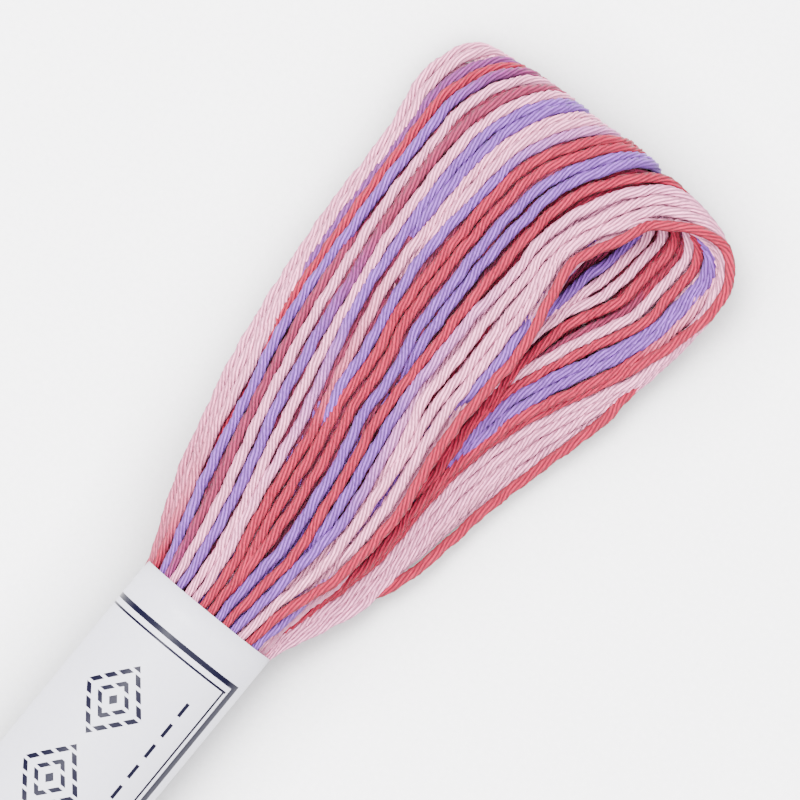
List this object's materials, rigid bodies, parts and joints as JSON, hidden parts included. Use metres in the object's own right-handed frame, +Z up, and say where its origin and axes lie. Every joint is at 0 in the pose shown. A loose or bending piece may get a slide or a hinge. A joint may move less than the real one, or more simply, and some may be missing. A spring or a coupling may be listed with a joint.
{
  "type": "skein of embroidery floss",
  "caption": "Banded skein of variegated twisted cotton floss: a ring of thread gathered in a paper band, its loops fanned out at both ends and open at one side.",
  "frame": {"origin": "centre of the bounding box in X and Y, on the surface that the skein rests on", "axes": "+Y along the skein towards the fan with the open loops, +X to the right seen from above with +Y away from the viewer, +Z up"},
  "size_m": [0.0302, 0.158, 0.0095],
  "materials": {
    "floss": "soft matte cotton with a slight lustre, dyed in long runs of red, pink, lavender and mauve",
    "paper": "smooth coated white paper, softly glossy"
  },
  "bodies": {
    "root": {"hank": "floss", "paper_band": "paper"}
  },
  "joints": []
}
